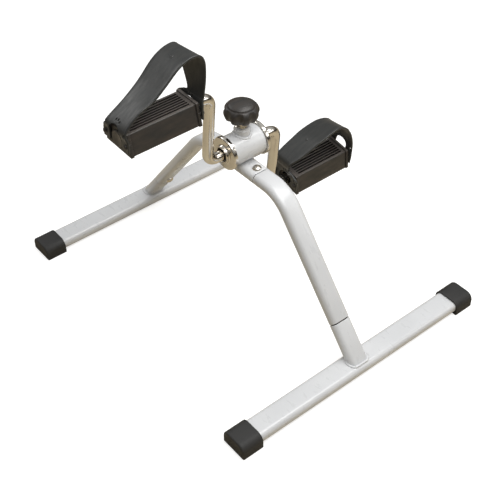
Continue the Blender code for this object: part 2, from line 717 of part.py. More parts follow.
def build():
    for word, side in (("front", -1), ("rear", 1)):
        foot_bar(f"{word}_foot_bar", side)
        foot_stub(f"{word}_foot_stub", side)
        leg(f"{word}_leg", side)
        leg_bolt(f"{word}_leg_bolt", side)
        leg_nut(f"{word}_leg_nut", side)
        foot_screw(f"{word}_foot_screw", side)
        for hand, end in (("left", -1), ("right", 1)):
            foot_cap(f"{word}_{hand}_foot_cap", end, side)
    centre_tube()
    hub_shell()
    tension_boss()
    tension_nut()
    brake_pad()
    pressure_disc()
    tension_screw()
    tension_knob()
    crankshaft()
    for hand, side in (("left", -1), ("right", 1)):
        hub_cup(f"{hand}_hub_cup", side)
        hub_bush(f"{hand}_hub_bush", side)
        pedal_body(f"{hand}_pedal_body", side)
        pedal_sleeve(f"{hand}_pedal_sleeve", side)
        pedal_clip(f"{hand}_pedal_clip", side)
        pedal_cap(f"{hand}_pedal_cap", side)
        strap(f"{hand}_foot_strap", side)


clear_scene()
PARTS = collection("pedal_exerciser")
CUTTERS = collection("cutters")
build()
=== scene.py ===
"""Looks of the pedal exerciser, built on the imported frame.

Row frame: metres, +Z up, the floor at Z = 0. X is the crank axis and Y runs from the front foot
bar to the rear one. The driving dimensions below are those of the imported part, except that the
treads' slots and the seams between tubes are wider, and the foot screws' hidden shanks shorter.
"""

from math import cos, pi, radians, sin, sqrt, tan

import bmesh
import bpy
from mathutils import Matrix, Vector


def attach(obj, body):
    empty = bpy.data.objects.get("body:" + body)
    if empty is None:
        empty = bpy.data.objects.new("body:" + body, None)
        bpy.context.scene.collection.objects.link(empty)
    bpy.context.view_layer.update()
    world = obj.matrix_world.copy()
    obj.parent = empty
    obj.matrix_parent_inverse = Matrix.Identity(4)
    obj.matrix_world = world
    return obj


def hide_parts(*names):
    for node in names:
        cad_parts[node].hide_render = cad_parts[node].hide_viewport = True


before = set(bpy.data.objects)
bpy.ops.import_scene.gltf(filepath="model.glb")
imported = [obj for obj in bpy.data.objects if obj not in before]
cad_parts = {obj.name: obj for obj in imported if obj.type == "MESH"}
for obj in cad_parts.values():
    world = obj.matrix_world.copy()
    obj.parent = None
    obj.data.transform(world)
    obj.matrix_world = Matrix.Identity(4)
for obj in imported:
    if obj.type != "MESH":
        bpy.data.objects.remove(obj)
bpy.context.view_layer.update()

MM = 0.001
GAP = 0.3 * MM
X_AXIS = Vector((1, 0, 0))
Z_AXIS = Vector((0, 0, 1))

# Driving dimensions
BAR_SPACING = 450 * MM
BAR_WIDTH = 33.5 * MM
BAR_HEIGHT = 16 * MM
BAR_CORNER = 6.8 * MM
BAR_TOP = 18.7 * MM
BAR_HALF = 195.7 * MM
CAP_WIDTH = 39.2 * MM
CAP_LENGTH = 31 * MM
CAP_HEIGHT = 21.6 * MM
CAP_CROWN = 10.5 * MM
CAP_SOLE_CORNER = 1.6 * MM
OVERALL_HALF = 200 * MM
TUBE_WIDTH = 28.5 * MM
TUBE_THICK = 15.5 * MM
TUBE_CORNER = 7.2 * MM
WALL = 1.5 * MM
SPIGOT_LENGTH = 24 * MM
END_EASE = 0.7 * MM
EASE_STEPS = 4
SEAM_HALF = 0.8 * MM
TUBE_Z = 200.3 * MM
CENTRE_HALF = 37 * MM
LEG_SLOPE = radians(51.3)
LEG_BEND_R = 50 * MM
STUB_LENGTH = 55 * MM
BOLT_R = 3 * MM
BOLT_HEAD_R = 6 * MM
BOLT_HEAD_H = 4.2 * MM
LEG_BOLT_Y = 29 * MM
LEG_BOLT_SHANK = 21 * MM
FOOT_SCREW_UP = 12 * MM
FOOT_SCREW_SHANK = 8 * MM
HEAD_SHARP = radians(40)
WELD_R = 1.9 * MM
WELD_TOE = 0.7 * MM
WELD_RIPPLE = 0.22
HUB_R = 20.2 * MM
HUB_WALL = 2.2 * MM
HUB_HALF = 23.7 * MM
HUB_Z = TUBE_Z + TUBE_THICK / 2 + HUB_R + GAP
HUB_SEAT_X = 27 * MM
HUB_SEAT_Y = 13.5 * MM
CUP_R = 22.7 * MM
CUP_END = 30 * MM
CUP_SPIGOT_IN = 15 * MM
COLLAR_R = 12.2 * MM
COLLAR_END = 33.5 * MM
CUP_BORE_R = 9.4 * MM
ROD_R = 7.1 * MM
CRANK_LENGTH = 102 * MM
ARM_X = 55 * MM
CRANK_BEND_R = 13 * MM
CRANK_LEAN = radians(6.4)
SPINDLE_END = 174.5 * MM
BOSS_R = 10.6 * MM
BOSS_TOP = 258 * MM
BOSS_BORE_R = 6.6 * MM
NECK_R = 8.3 * MM
NECK_TOP = 268.3 * MM
SCREW_R = 4 * MM
THREAD_PITCH = 1.25 * MM
KNOB_LOBES = 8
KNOB_SHOULDER_Z = 287.9 * MM
KNOB_SKIRT_R = 16.3 * MM
SCALLOP_DEPTH = 2.8 * MM
SCALLOP_FADE = 5 * MM
SCALLOP_HALF = 0.33
PEDAL_MID = 133 * MM
PEDAL_HALF = 48.5 * MM
PLATE_THICK = 4 * MM
TREAD_TOP = 34.5 * MM
TREAD_BOTTOM = 48 * MM
TREAD_HEIGHT = 26 * MM
TREAD_WALL = 2.6 * MM
PLATE_LIP = 1.5 * MM
SLOTS = 7
SLOT_PITCH = 4.1 * MM
SLOT_WIDTH = 2.6 * MM
SLOT_LENGTH = 80 * MM
BARREL_R = 10.6 * MM
BARREL_BORE = 9.1 * MM
CAP_FLANGE_R = 10.3 * MM
CAP_FLANGE = 1.8 * MM
PEG_R = 2.2 * MM
PEG_REACH = 5.5 * MM
PEG_Y = 20 * MM
PEG_Z = 1 * MM
TILTS = {-1: radians(1.5), 1: radians(9.5)}

# Straps, in millimetres on the pedal's own axes
STRAP_TAIL_HALF = 24.5
STRAP_HALF_THICK = 1.2
STRAP_FACE = 50.3
STRAP_TAIL = -7
SPLINE_STEPS = 12
# Distance in from the strap's edge and height of its outer face there: a rolled rim
RIM = ((0, 0), (0.2, 0.75), (0.6, 1.25), (1.1, 1.5), (1.8, 1.5), (2.3, 1.3), (3.0, 1.2), (6, 1.2),
       (12, 1.2))

# Camera, aimed at a point low in the middle of the object
CAMERA_AZIMUTH = radians(-38.395)
CAMERA_ELEVATION = radians(42.486)
CAMERA_ROLL = radians(-1.0486)
CAMERA_DISTANCE = 1.3814
CAMERA_TARGET = Vector((0.0239, 0.0183, 0.0217))
CAMERA_LENS = 69.68


# ---- camera, light and floor ----

def linked(name, data):
    """A new object in the scene."""
    obj = bpy.data.objects.new(name, data)
    bpy.context.scene.collection.objects.link(obj)
    return obj


def make_camera():
    flat = cos(CAMERA_ELEVATION)
    back = Vector((sin(CAMERA_AZIMUTH) * flat, -cos(CAMERA_AZIMUTH) * flat, sin(CAMERA_ELEVATION)))
    right = Vector((cos(CAMERA_AZIMUTH), sin(CAMERA_AZIMUTH), 0))
    up = back.cross(right)
    turned = right * cos(CAMERA_ROLL) + up * sin(CAMERA_ROLL)
    up = back.cross(turned)
    camera = linked("camera", bpy.data.cameras.new("camera"))
    camera.data.lens = CAMERA_LENS
    camera.data.sensor_width = 36
    place = Matrix((turned, up, back)).transposed().to_4x4()
    place.translation = CAMERA_TARGET + back * CAMERA_DISTANCE
    camera.matrix_world = place
    bpy.context.scene.camera = camera


def area_light(name, place, towards, size, power, colour=(1, 1, 1)):
    lamp = bpy.data.lights.new(name, "AREA")
    lamp.shape = "RECTANGLE"
    lamp.size, lamp.size_y = size
    lamp.energy = power
    lamp.color = colour
    obj = linked(name, lamp)
    obj.location = place
    obj.rotation_mode = "QUATERNION"
    obj.rotation_quaternion = (Vector(place) - Vector(towards)).to_track_quat("Z", "Y")


def make_world():
    """A studio: bright overhead, darker round the walls."""
    world = bpy.data.worlds.new("studio")
    world.use_nodes = True
    tree = world.node_tree
    coords = tree.nodes.new("ShaderNodeTexCoord")
    split = tree.nodes.new("ShaderNodeSeparateXYZ")
    tree.links.new(coords.outputs["Generated"], split.inputs[0])
    tone = ramp(tree, split.outputs["Z"], [(0.0, (0.05, 0.045, 0.04)), (0.10, (0.06, 0.055, 0.05)),
                                           (0.22, (0.19, 0.18, 0.165)), (0.55, (0.44, 0.44, 0.44)),
                                           (1.0, (0.62, 0.62, 0.62))])
    tree.links.new(tone, tree.nodes["Background"].inputs["Color"])
    tree.nodes["Background"].inputs["Strength"].default_value = 1.0
    bpy.context.scene.world = world


def make_stage():
    """A paper floor, white to the camera and warmer in what it reflects, and three lamps."""
    floor_mesh = bpy.data.meshes.new("floor")
    reach = 4.0
    corners = [(-reach, -reach, 0), (reach, -reach, 0), (reach, reach, 0), (-reach, reach, 0)]
    floor_mesh.from_pydata(corners, [], [(0, 1, 2, 3)])
    paper = bpy.data.materials.new("paper")
    paper.use_nodes = True
    tree = paper.node_tree
    shader = tree.nodes["Principled BSDF"]
    shader.inputs["Roughness"].default_value = 0.9
    shader.inputs["Specular IOR Level"].default_value = 0.1
    shader.inputs["Emission Color"].default_value = (1.0, 0.995, 0.985, 1)
    shader.inputs["Emission Strength"].default_value = 0.72
    fibre = noise(tree, object_coords(tree), 180, 3)
    tone = ramp(tree, fibre, [(0.3, (0.50, 0.50, 0.495)), (0.7, (0.54, 0.54, 0.535))])
    tree.links.new(tone, shader.inputs["Base Color"])
    bounce = tree.nodes.new("ShaderNodeBsdfDiffuse")
    bounce.inputs["Color"].default_value = (0.50, 0.43, 0.31, 1)
    rays = tree.nodes.new("ShaderNodeLightPath")
    mix = tree.nodes.new("ShaderNodeMixShader")
    tree.links.new(rays.outputs["Is Camera Ray"], mix.inputs[0])
    tree.links.new(bounce.outputs[0], mix.inputs[1])
    tree.links.new(shader.outputs[0], mix.inputs[2])
    tree.links.new(mix.outputs[0], tree.nodes["Material Output"].inputs["Surface"])
    floor_mesh.materials.append(paper)
    floor = linked("floor", floor_mesh)
    area_light("key", (0.12, -0.32, 1.0), (0, -0.15, 0), (0.9, 0.6), 8.6, (1.0, 0.995, 0.985))
    area_light("fill", (1.2, -1.1, 1.0), (0, 0, 0.15), (0.9, 0.6), 4)
    area_light("rim", (-0.5, 1.4, 1.1), (0, 0, 0.15), (0.9, 0.4), 5)


# ---- finishes ----

def object_coords(tree, stretch=(1, 1, 1)):
    coords = tree.nodes.new("ShaderNodeTexCoord")
    mapping = tree.nodes.new("ShaderNodeMapping")
    mapping.inputs["Scale"].default_value = stretch
    tree.links.new(coords.outputs["Object"], mapping.inputs["Vector"])
    return mapping.outputs["Vector"]


def noise(tree, coords, scale, detail=2.0, rough=0.5):
    node = tree.nodes.new("ShaderNodeTexNoise")
    node.inputs["Scale"].default_value = scale
    node.inputs["Detail"].default_value = detail
    node.inputs["Roughness"].default_value = rough
    tree.links.new(coords, node.inputs["Vector"])
    return node.outputs["Fac"]


def cells(tree, coords, scale):
    node = tree.nodes.new("ShaderNodeTexVoronoi")
    node.inputs["Scale"].default_value = scale
    tree.links.new(coords, node.inputs["Vector"])
    return node.outputs["Distance"]


def ramp(tree, value, stops):
    """Colour that follows a value between stops of (position, colour)."""
    node = tree.nodes.new("ShaderNodeValToRGB")
    elements = node.color_ramp.elements
    while len(elements) < len(stops):
        elements.new(0.5)
    for element, (position, colour) in zip(elements, stops):
        element.position = position
        element.color = (*colour, 1)
    tree.links.new(value, node.inputs["Fac"])
    return node.outputs["Color"]


def roughen(tree, shader, value, low, high):
    """Roughness that follows the middle part of a noise value between two numbers."""
    node = tree.nodes.new("ShaderNodeMapRange")
    node.inputs["From Min"].default_value = 0.3
    node.inputs["From Max"].default_value = 0.7
    node.inputs["To Min"].default_value = low
    node.inputs["To Max"].default_value = high
    tree.links.new(value, node.inputs["Value"])
    tree.links.new(node.outputs["Result"], shader.inputs["Roughness"])


def bump(tree, shader, layers):
    """Chained bumps of (height, distance in metres, strength)."""
    last = None
    for value, distance, strength in layers:
        node = tree.nodes.new("ShaderNodeBump")
        node.inputs["Distance"].default_value = distance
        node.inputs["Strength"].default_value = strength
        tree.links.new(value, node.inputs["Height"])
        if last:
            tree.links.new(last, node.inputs["Normal"])
        last = node.outputs["Normal"]
    tree.links.new(last, shader.inputs["Normal"])


def finish_base(name, metallic=0.0, **sockets):
    made = bpy.data.materials.new(name)
    made.use_nodes = True
    shader = made.node_tree.nodes["Principled BSDF"]
    shader.inputs["Metallic"].default_value = metallic
    for socket, value in sockets.items():
        shader.inputs[socket.replace("_", " ")].default_value = value
    return made, made.node_tree, shader


def white_paint():
    """Glossy pale grey-white stove enamel with orange peel and faint handling marks."""
    made, tree, shader = finish_base("painted_steel", Coat_Weight=0.35, Coat_Roughness=0.1)
    coords = object_coords(tree)
    patches = noise(tree, coords, 16, 4)
    tone = ramp(tree, patches, [(0.3, (0.555, 0.563, 0.573)), (0.7, (0.605, 0.612, 0.62))])
    tree.links.new(tone, shader.inputs["Base Color"])
    handled = noise(tree, object_coords(tree, (3, 1, 1)), 55, 5, 0.6)
    roughen(tree, shader, handled, 0.24, 0.38)
    peel = noise(tree, coords, 430, 2)
    dust = noise(tree, coords, 2600, 2)
    bump(tree, shader, [(peel, 0.0002, 0.35), (dust, 0.00005, 0.25)])
    return made


def chrome():
    """Bright plating over polished steel with fine handling scratches; its tone is warmed as a painted
    reflection of tan surroundings.
    """
    made, tree, shader = finish_base("bright_plating", metallic=1.0)
    coords = object_coords(tree)
    patches = noise(tree, coords, 45, 4)
    # painted reflection: the warm tint stands for tan surroundings seen in the plating; the rest is the
    # plating's own colour
    tone = ramp(tree, patches, [(0.3, (0.66, 0.62, 0.56)), (0.7, (0.75, 0.72, 0.66))])
    tree.links.new(tone, shader.inputs["Base Color"])
    scratches = noise(tree, object_coords(tree, (1, 1, 14)), 260, 6, 0.7)
    roughen(tree, shader, scratches, 0.07, 0.17)
    ripple = noise(tree, coords, 240, 2)
    bump(tree, shader, [(ripple, 0.00008, 0.3), (scratches, 0.00002, 0.3)])
    return made


def zinc_steel(name="zinc_plating", low=(0.40, 0.40, 0.385), high=(0.54, 0.53, 0.51)):
    """Zinc-plated steel with a cloudy, slightly dull surface."""
    made, tree, shader = finish_base(name, metallic=1.0)
    coords = object_coords(tree)
    clouds = noise(tree, coords, 420, 5)
    tone = ramp(tree, clouds, [(0.3, low), (0.7, high)])
    tree.links.new(tone, shader.inputs["Base Color"])
    roughen(tree, shader, clouds, 0.28, 0.45)
    bump(tree, shader, [(noise(tree, coords, 3000, 3), 0.00004, 0.4)])
    return made


def painted_top_highlight(tree, tone, worn):
    """The tone, mixed towards a lighter one on faces whose own normal points up: a painted highlight from
    above.
    """
    coords = tree.nodes.new("ShaderNodeTexCoord")
    split = tree.nodes.new("ShaderNodeSeparateXYZ")
    tree.links.new(coords.outputs["Normal"], split.inputs[0])
    facing = tree.nodes.new("ShaderNodeMapRange")
    facing.inputs["From Min"].default_value = 0.75
    facing.inputs["From Max"].default_value = 0.95
    tree.links.new(split.outputs["Z"], facing.inputs["Value"])
    # painted highlight: up-facing faces are mixed towards a lighter tone that stands for overhead light
    mix = tree.nodes.new("ShaderNodeMix")
    mix.data_type = "RGBA"
    tree.links.new(facing.outputs["Result"], mix.inputs["Factor"])
    tree.links.new(tone, mix.inputs["A"])
    mix.inputs["B"].default_value = (*worn, 1)
    return mix.outputs["Result"]


def black_plastic(name="moulded_plastic", low=(0.017, 0.016, 0.015), high=(0.034, 0.028, 0.024),
                  worn=None):
    """Moulded black plastic: a fine spark-eroded grain, flow marks and scuffed, browner patches.

    Where a top highlight tone is given, the faces that look up are mixed towards it: a painted highlight
    for light from above.
    """
    made, tree, shader = finish_base(name)
    coords = object_coords(tree)
    flow = noise(tree, object_coords(tree, (1, 2.5, 4)), 38, 5, 0.6)
    tone = ramp(tree, flow, [(0.35, low), (0.68, high)])
    if worn:
        tone = painted_top_highlight(tree, tone, worn)
    tree.links.new(tone, shader.inputs["Base Color"])
    roughen(tree, shader, flow, 0.50, 0.36)
    grain = noise(tree, coords, 2400, 3)
    bump(tree, shader, [(noise(tree, coords, 160, 2), 0.0003, 0.12), (grain, 0.00009, 0.5)])
    return made


def black_rubber():
    """Moulded black rubber with a pebbled grain and a dusty bloom."""
    made, tree, shader = finish_base("moulded_rubber")
    coords = object_coords(tree)
    bloom = noise(tree, coords, 48, 5, 0.6)
    tone = ramp(tree, bloom, [(0.35, (0.011, 0.011, 0.0105)), (0.7, (0.022, 0.021, 0.020))])
    tree.links.new(tone, shader.inputs["Base Color"])
    roughen(tree, shader, bloom, 0.55, 0.74)
    pebbles = cells(tree, coords, 950)
    bump(tree, shader, [(pebbles, 0.00018, 0.45), (noise(tree, coords, 2800, 2), 0.00006, 0.3)])
    return made


def strap_rubber():
    """Smooth flexible strap with a soft sheen, slightly marked along its length."""
    made, tree, shader = finish_base("flexible_strap", Sheen_Weight=0.12, Sheen_Roughness=0.4)
    coords = object_coords(tree)
    marks = noise(tree, object_coords(tree, (1, 4, 1)), 60, 5, 0.6)
    tone = ramp(tree, marks, [(0.35, (0.013, 0.0145, 0.014)), (0.7, (0.024, 0.024, 0.022))])
    tree.links.new(tone, shader.inputs["Base Color"])
    roughen(tree, shader, marks, 0.50, 0.38)
    bump(tree, shader, [(noise(tree, coords, 90, 2), 0.0006, 0.1),
                        (noise(tree, coords, 2100, 3), 0.00007, 0.4)])
    return made


def nylon():
    """Natural nylon, slightly cloudy."""
    made, tree, shader = finish_base("natural_nylon", Subsurface_Weight=0.1, Subsurface_Scale=0.001)
    coords = object_coords(tree)
    clouds = noise(tree, coords, 120, 4)
    tone = ramp(tree, clouds, [(0.3, (0.70, 0.69, 0.63)), (0.7, (0.78, 0.77, 0.72))])
    tree.links.new(tone, shader.inputs["Base Color"])
    roughen(tree, shader, clouds, 0.42, 0.55)
    bump(tree, shader, [(noise(tree, coords, 1500, 3), 0.00006, 0.4)])
    return made


# ---- mesh tools ----

def piece(name, mesh, body, slot, replaces=(), place=None, sharp=radians(32), finish=None):
    """A piece that rides on a body and takes the place of CAD nodes.

    It looks like its slot's finish, unless another finish is named.
    """
    mesh.materials.clear()
    mesh.materials.append(FINISHES[finish or slot])
    mesh.shade_smooth()
    mesh.set_sharp_from_angle(angle=sharp)
    obj = linked(name, mesh)
    if place is not None:
        obj.matrix_world = place
    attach(obj, body)
    if replaces:
        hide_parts(*replaces)


def outward_mesh(name, shell):
    """The mesh of a bmesh, its faces turned outwards. The bmesh goes."""
    bmesh.ops.recalc_face_normals(shell, faces=shell.faces)
    mesh = bpy.data.meshes.new(name)
    shell.to_mesh(mesh)
    shell.free()
    return mesh


def loft(name, rings, around=False):
    """A skin over rings of equal count. Around joins the last ring to the first."""
    shell = bmesh.new()
    rows = [[shell.verts.new(point) for point in ring] for ring in rings]
    pairs = list(zip(rows, rows[1:]))
    if around:
        pairs.append((rows[-1], rows[0]))
    count = len(rows[0])
    for row, after in pairs:
        for i in range(count):
            j = (i + 1) % count
            shell.faces.new((row[i], row[j], after[j], after[i]))
    if not around:
        shell.faces.new(list(reversed(rows[0])))
        shell.faces.new(rows[-1])
    return outward_mesh(name, shell)


def softened(profile, radius, steps=4, closed=True):
    """The profile with each corner rounded off, as far as its sides allow."""
    points = [Vector(p) for p in profile]
    count = len(points)
    found = []
    for i, corner in enumerate(points):
        if not closed and i in (0, count - 1):
            found.append(tuple(corner))
            continue
        back = points[i - 1] - corner
        ahead = points[(i + 1) % count] - corner
        turn = back.angle(ahead)
        if turn > radians(165):
            found.append(tuple(corner))
            continue
        cut = min(radius / tan(turn / 2), back.length * 0.45, ahead.length * 0.45)
        start = corner + back.normalized() * cut
        end = corner + ahead.normalized() * cut
        for k in range(steps + 1):
            t = k / steps
            found.append(tuple(start * (1 - t) ** 2 + corner * 2 * t * (1 - t) + end * t ** 2))
    return found


def turned(name, profile, steps=64, closed=False, reach=None):
    """A turned mesh about Z from (radius, height) points. Open profiles start and end on the axis.

    Reach, if given, works out the radius from the profile's radius, the height and the angle.
    """
    shell = bmesh.new()
    rows = []
    for r, z in profile:
        if r < 1e-7:
            rows.append([shell.verts.new((0, 0, z))])
            continue
        row = []
        for i in range(steps):
            angle = 2 * pi * i / steps
            out = reach(r, z, angle) if reach else r
            row.append(shell.verts.new((out * cos(angle), out * sin(angle), z)))
        rows.append(row)
    pairs = list(zip(rows, rows[1:]))
    if closed:
        pairs.append((rows[-1], rows[0]))
    for row, after in pairs:
        for i in range(steps):
            j = (i + 1) % steps
            corners = [row[i % len(row)], row[j % len(row)],
                       after[j % len(after)], after[i % len(after)]]
            unique = list(dict.fromkeys(corners))
            if len(unique) > 2:
                shell.faces.new(unique)
    return outward_mesh(name, shell)


def arc(centre, radius, start, end, steps):
    """Points along an arc between two angles."""
    cx, cy = centre
    angles = [start + (end - start) * i / steps for i in range(steps + 1)]
    return [(cx + radius * cos(a), cy + radius * sin(a)) for a in angles]


def rounded_box(width, height, top_corner, bottom_corner, bottom=0.0, steps=10):
    """Counter-clockwise outline, centred across, standing on bottom."""
    half = width / 2
    top = bottom + height
    points = arc((half - bottom_corner, bottom + bottom_corner), bottom_corner, -pi / 2, 0, steps)
    points += arc((half - top_corner, top - top_corner), top_corner, 0, pi / 2, steps)
    points += arc((top_corner - half, top - top_corner), top_corner, pi / 2, pi, steps)
    points += arc((bottom_corner - half, bottom + bottom_corner), bottom_corner, pi, 1.5 * pi, steps)
    return points


def prism(name, outlines, depth, edge=0.0):
    """Flat outlines, the later ones holes, as a solid about z = 0 with eased edges."""
    curve = bpy.data.curves.new(name, "CURVE")
    curve.dimensions = "2D"
    curve.fill_mode = "BOTH"
    curve.extrude = depth / 2 - edge
    curve.bevel_depth = edge
    curve.bevel_resolution = 2
    curve.offset = -edge
    for outline in outlines:
        spline = curve.splines.new("POLY")
        spline.points.add(len(outline) - 1)
        spline.use_cyclic_u = True
        for point, (x, y) in zip(spline.points, outline):
            point.co = (x, y, 0, 1)
    return evaluated(linked(name, curve), name)


def evaluated(obj, name):
    """The object's mesh with everything on it applied. The object itself goes."""
    bpy.context.view_layer.update()
    found = obj.evaluated_get(bpy.context.evaluated_depsgraph_get())
    mesh = bpy.data.meshes.new_from_object(found)
    bpy.data.objects.remove(obj)
    mesh.name = name
    shell = bmesh.new()
    shell.from_mesh(mesh)
    bmesh.ops.remove_doubles(shell, verts=shell.verts, dist=1e-6)
    shell.to_mesh(mesh)
    shell.free()
    return mesh


def carved(mesh, cutters):
    """The mesh after cutting it with (mesh, placement) cutters."""
    obj = linked(mesh.name, mesh)
    others = []
    for i, (cutter, place) in enumerate(cutters):
        other = linked(f"cutter_{i}", cutter)
        other.matrix_world = place
        others.append(other)
        step = obj.modifiers.new("cut", "BOOLEAN")
        step.operation = "DIFFERENCE"
        step.object = other
        step.solver = "EXACT"
    made = evaluated(obj, mesh.name)
    for other in others:
        bpy.data.objects.remove(other)
    return made


def joined(name, parts):
    """One mesh from (mesh, placement) parts."""
    shell = bmesh.new()
    for mesh, place in parts:
        copy = mesh.copy()
        copy.transform(place)
        shell.from_mesh(copy)
    made = bpy.data.meshes.new(name)
    shell.to_mesh(made)
    shell.free()
    return made


def resampled(points, count):
    """Evenly spaced points round a closed path."""
    closed = points + [points[0]]
    lengths = [0.0]
    for a, b in zip(closed, closed[1:]):
        lengths.append(lengths[-1] + (b - a).length)
    found = []
    k = 0
    for i in range(count):
        target = lengths[-1] * i / count
        while lengths[k + 1] < target:
            k += 1
        share = (target - lengths[k]) / max(lengths[k + 1] - lengths[k], 1e-12)
        found.append(closed[k].lerp(closed[k + 1], share))
    return found


def bead(name, path, radius, ripple, count):
    """A weld bead round a closed path, with count overlapping ripples."""
    rings = []
    total = len(path)
    for i, point in enumerate(path):
        along = (path[(i + 1) % total] - path[i - 1]).normalized()
        out = along.cross(Z_AXIS).normalized()
        up = out.cross(along)
        phase = (i * count / total) % 1.0
        size = radius * (1 + ripple * (sqrt(phase) - 0.6))
        angles = [2 * pi * k / 14 for k in range(14)]
        rings.append([point + out * size * cos(a) + up * size * sin(a) for a in angles])
    return loft(name, rings, around=True)


# ---- feet ----

def foot_bar(word, side):
    y = side * BAR_SPACING / 2
    outline = rounded_box(BAR_WIDTH, BAR_HEIGHT, BAR_CORNER, BAR_CORNER, BAR_TOP - BAR_HEIGHT)
    rings = [[(BAR_HALF * share, y + u, v) for u, v in outline] for share in (-1, -1 / 3, 1 / 3, 1)]
    name = f"{word}_bar_skin"
    piece(name, loft(name, rings), "frame", "white_paint", [f"{word}_foot_bar"])


def foot_cap(word, hand, end, side):
    """A rubber end cap with a rolled mouth, eased end and a flat sole."""
    y = side * BAR_SPACING / 2
    mouth = OVERALL_HALF - CAP_LENGTH

    def ring(x, inset):
        corner = max(CAP_SOLE_CORNER - inset, 0.2 * MM)
        outline = rounded_box(CAP_WIDTH - 2 * inset, CAP_HEIGHT - 2 * inset, CAP_CROWN - inset,
                              corner, inset)
        return [(end * x, y + u, v) for u, v in outline]

    pocket = rounded_box(BAR_WIDTH + GAP, BAR_HEIGHT + GAP, BAR_CORNER, BAR_CORNER,
                         BAR_TOP - BAR_HEIGHT - GAP / 2)
    rings = [[(end * (mouth + depth), y + u, v) for u, v in pocket] for depth in (8 * MM, 0.6 * MM)]
    rings.append(ring(mouth, 1.2 * MM))
    roll = 0.8 * MM
    for x, z in arc((0, 0), 1, -pi / 2, -pi, 3):
        rings.append(ring(mouth + (1 + z) * roll, (1 + x) * roll))
    rings += [ring(mouth + CAP_LENGTH * share, 0) for share in (0.3, 0.6, 0.85)]
    ease = 2.4 * MM
    for a in range(6):
        angle = pi / 2 * a / 5
        rings.append(ring(OVERALL_HALF - ease * (1 - sin(angle)), ease * (1 - cos(angle))))
    rings.append(ring(OVERALL_HALF, 5 * MM))
    name = f"{word}_{hand}_cap_skin"
    piece(name, loft(name, rings), "frame", "black_rubber", [f"{word}_{hand}_foot_cap"])


def slope_axis(side):
    """The bottom of the leg's sloping axis, the way up it and the way out of its inner face."""
    up = Vector((0, -side * cos(LEG_SLOPE), sin(LEG_SLOPE)))
    return Vector((0, side * BAR_SPACING / 2, BAR_TOP)), up, X_AXIS.cross(up) * side


def oval_ring(place, along, inset=0.0):
    """A ring of the flat-sided oval tube's section, square to a direction in the YZ plane."""
    normal = along.cross(X_AXIS)
    outline = rounded_box(TUBE_WIDTH - 2 * inset, TUBE_THICK - 2 * inset, TUBE_CORNER - inset,
                          TUBE_CORNER - inset, inset - TUBE_THICK / 2)
    return [place + X_AXIS * u + normal * v for u, v in outline]


def eased_rings(place, along, inward):
    """Rings that ease a tube's outer edge at a square end face. Inward points into the tube."""
    rings = []
    for i in range(EASE_STEPS + 1):
        angle = pi / 2 * i / EASE_STEPS
        spot = place + inward * END_EASE * (1 - sin(angle))
        rings.append(oval_ring(spot, along, END_EASE * (1 - cos(angle))))
    return rings if inward.dot(along) < 0 else rings[::-1]


def foot_stub(word, side):
    """The slanted tube on the bar, cut to the bar's flat top, with its spigot and weld."""
    base, up, _ = slope_axis(side)
    seam = base + up * (STUB_LENGTH - SEAM_HALF)
    ground = []
    for point in oval_ring(base, up):
        ground.append(point + up * ((BAR_TOP - 0.4 * MM - point.z) / up.z))
    rings = [ground, oval_ring(base + up * 14 * MM, up)]
    rings += eased_rings(seam, up, -up)
    name = f"{word}_stub_skin"
    piece(name, loft(name, rings), "frame", "white_paint", [f"{word}_foot_stub"])
    spigot(f"{word}_stub_spigot", seam, seam + up * SPIGOT_LENGTH, up)
    y = side * BAR_SPACING / 2
    toe = [Vector((p.x * 1.03, y + (p.y - y) * 1.04, BAR_TOP)) for p in resampled(ground, 168)]
    name = f"{word}_stub_weld"
    piece(name, bead(name, toe, WELD_R, WELD_RIPPLE, 24), "frame", "white_paint")


def spigot(name, near, far, along):
    """The reduced end that plugs into the next tube, bare steel, its near-black tone painted shade for the
    seam's gap.
    """
    inset = WALL + GAP
    rings = [oval_ring(near - along * WALL, along, inset), oval_ring(far, along, inset)]
    # painted shade: the spigot's near-black tone makes the seam gap read as shade
    piece(name, loft(name, rings), "frame", "white_paint", (), finish="painted_shade_steel")


# ---- centre and legs ----

def leg_path(side):
    """Points and directions from the level start, round the bend and down to the seam."""
    base, up, _ = slope_axis(side)
    corner_y = BAR_SPACING / 2 - (TUBE_Z - BAR_TOP) / tan(LEG_SLOPE)
    bend_start = corner_y - LEG_BEND_R * tan(LEG_SLOPE / 2)
    out = Vector((0, side, 0))
    path = [(Vector((0, side * (CENTRE_HALF + SEAM_HALF), TUBE_Z)), out)]
    for i in range(29):
        angle = LEG_SLOPE * i / 28
        reach = bend_start + LEG_BEND_R * sin(angle)
        fall = LEG_BEND_R * (1 - cos(angle))
        path.append((Vector((0, side * reach, TUBE_Z - fall)),
                     Vector((0, side * cos(angle), -sin(angle)))))
    path.append((base + up * (STUB_LENGTH + SEAM_HALF), -up))
    return path


def leg(word, side):
    """One bent tube from the seam at the centre to the open foot that takes the stub's spigot."""
    path = leg_path(side)
    start, out = path[0]
    foot, down = path[-1]
    rings = eased_rings(start, out, out)
    rings += [oval_ring(place, along) for place, along in path[1:-1]]
    rings += eased_rings(foot, down, -down)
    depth = SPIGOT_LENGTH + 2 * MM
    rings += [oval_ring(foot, down, WALL), oval_ring(foot - down * depth, down, WALL)]
    name = f"{word}_leg_skin"
    piece(name, loft(name, rings), "frame", "white_paint", [f"{word}_leg"])
    spigot(f"{word}_leg_spigot", start, start - out * SPIGOT_LENGTH, -out)


def centre_tube():
    """The open tube that both legs plug into."""
    ahead = Vector((0, 1, 0))
    reach = CENTRE_HALF + GAP - SEAM_HALF
    near, far = Vector((0, -reach, TUBE_Z)), Vector((0, reach, TUBE_Z))
    rings = [oval_ring(far, ahead, WALL), oval_ring(near, ahead, WALL)]
    rings += eased_rings(near, ahead, ahead)
    rings += eased_rings(far, ahead, -ahead)
    piece("centre_tube_skin", loft("centre_tube_skin", rings, around=True), "frame", "white_paint",
          ["centre_tube"])


